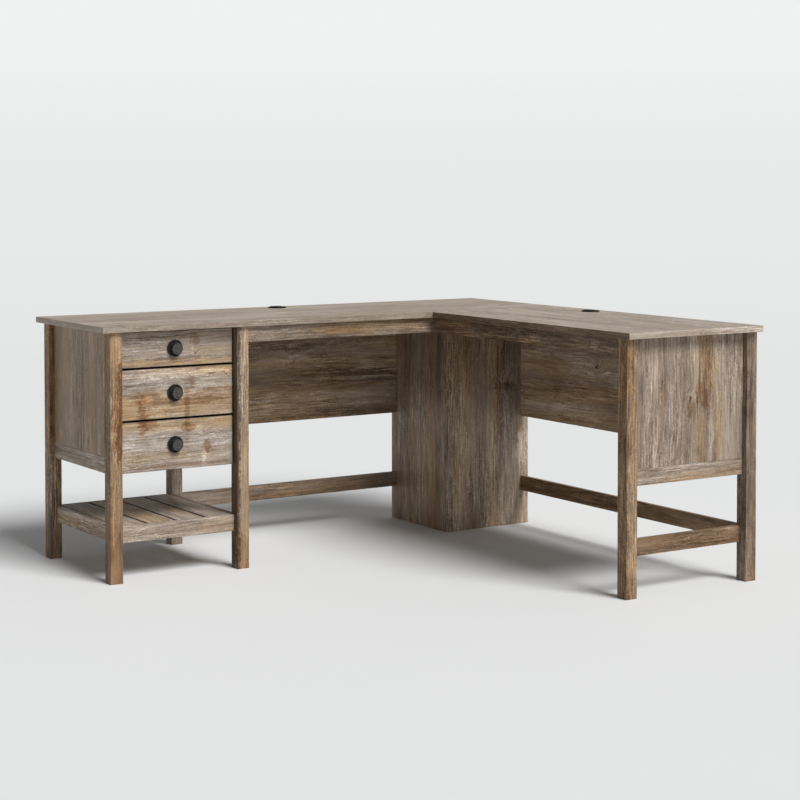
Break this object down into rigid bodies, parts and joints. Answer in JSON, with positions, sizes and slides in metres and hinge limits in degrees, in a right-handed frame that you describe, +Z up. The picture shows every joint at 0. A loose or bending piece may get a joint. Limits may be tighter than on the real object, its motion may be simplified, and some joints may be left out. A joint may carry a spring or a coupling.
{
  "type": "corner desk",
  "caption": "L-shaped corner desk on square posts, with a drawer pedestal over a slatted shelf, two kneeholes and a corner column.",
  "frame": {"origin": "on the floor, at the middle of the desk's footprint rectangle", "axes": "+X along the long wing towards the corner column, +Y towards the long wing's back edge, +Z up"},
  "size_m": [1.672, 1.505, 0.7691],
  "materials": {
    "desktop_board": "satin weathered wood-grain foil",
    "post_wood": "satin weathered wood-grain foil",
    "panel_board": "satin weathered wood-grain foil",
    "front_board": "satin weathered wood-grain foil",
    "drawer_box_board": "plain matt foil",
    "cast_knob": "hammered, near black",
    "black_plastic": "fine texture",
    "runner_steel": "zinc plated"
  },
  "bodies": {
    "desk_frame": {"main_top": "desktop_board", "return_top": "desktop_board", "shelf_slat_1": "desktop_board", "shelf_slat_2": "desktop_board", "shelf_slat_3": "desktop_board", "shelf_slat_4": "desktop_board", "pedestal_post_front_left": "post_wood", "pedestal_post_front_right": "post_wood", "pedestal_post_back_left": "post_wood", "pedestal_post_back_right": "post_wood", "return_post_inner": "post_wood", "return_post_outer": "post_wood", "pedestal_outer_panel": "panel_board", "pedestal_outer_rail": "panel_board", "pedestal_inner_panel": "panel_board", "top_joint_batten": "panel_board", "pedestal_back_panel": "panel_board", "shelf_rail_left": "panel_board", "shelf_rail_right": "panel_board", "shelf_rail_back": "panel_board", "main_modesty_panel": "panel_board", "main_stretcher": "panel_board", "return_modesty_panel": "panel_board", "return_stretcher": "panel_board", "return_end_panel": "panel_board", "return_end_rail": "panel_board", "return_end_stretcher": "panel_board", "column_front_board": "panel_board", "column_side_board": "panel_board", "shelf_rail_front": "front_board", "main_apron": "front_board", "return_apron": "front_board", "runner_left_top": "runner_steel", "runner_right_top": "runner_steel", "runner_left_middle": "runner_steel", "runner_right_middle": "runner_steel", "runner_left_bottom": "runner_steel", "runner_right_bottom": "runner_steel", "grommet_sleeve_main": "black_plastic", "grommet_sleeve_return": "black_plastic"},
    "drawer_top": {"drawer_front_top": "front_board", "drawer_side_left_top": "drawer_box_board", "drawer_side_right_top": "drawer_box_board", "drawer_back_top": "drawer_box_board", "drawer_bottom_top": "drawer_box_board", "drawer_knob_top": "cast_knob"},
    "drawer_middle": {"drawer_front_middle": "front_board", "drawer_side_left_middle": "drawer_box_board", "drawer_side_right_middle": "drawer_box_board", "drawer_back_middle": "drawer_box_board", "drawer_bottom_middle": "drawer_box_board", "drawer_knob_middle": "cast_knob"},
    "drawer_bottom": {"drawer_front_bottom": "front_board", "drawer_side_left_bottom": "drawer_box_board", "drawer_side_right_bottom": "drawer_box_board", "drawer_back_bottom": "drawer_box_board", "drawer_bottom_bottom": "drawer_box_board", "drawer_knob_bottom": "cast_knob"},
    "cover_main": {"grommet_cover_main": "black_plastic"},
    "cover_return": {"grommet_cover_return": "black_plastic"}
  },
  "joints": [
    {"name": "drawer_top_slide", "type": "slide", "parent": "desk_frame", "child": "drawer_top", "axis": [0, -1, 0], "range_m": [0, 0.3]},
    {"name": "drawer_middle_slide", "type": "slide", "parent": "desk_frame", "child": "drawer_middle", "axis": [0, -1, 0], "range_m": [0, 0.3]},
    {"name": "drawer_bottom_slide", "type": "slide", "parent": "desk_frame", "child": "drawer_bottom", "axis": [0, -1, 0], "range_m": [0, 0.3]},
    {"name": "cover_main_turn", "type": "hinge", "parent": "desk_frame", "child": "cover_main", "pos_m": [-0.005, 0.6875, 0.7665], "axis": [0, 0, 1], "continuous": true},
    {"name": "cover_return_turn", "type": "hinge", "parent": "desk_frame", "child": "cover_return", "pos_m": [0.771, -0.0165, 0.7665], "axis": [0, 0, 1], "continuous": true}
  ]
}
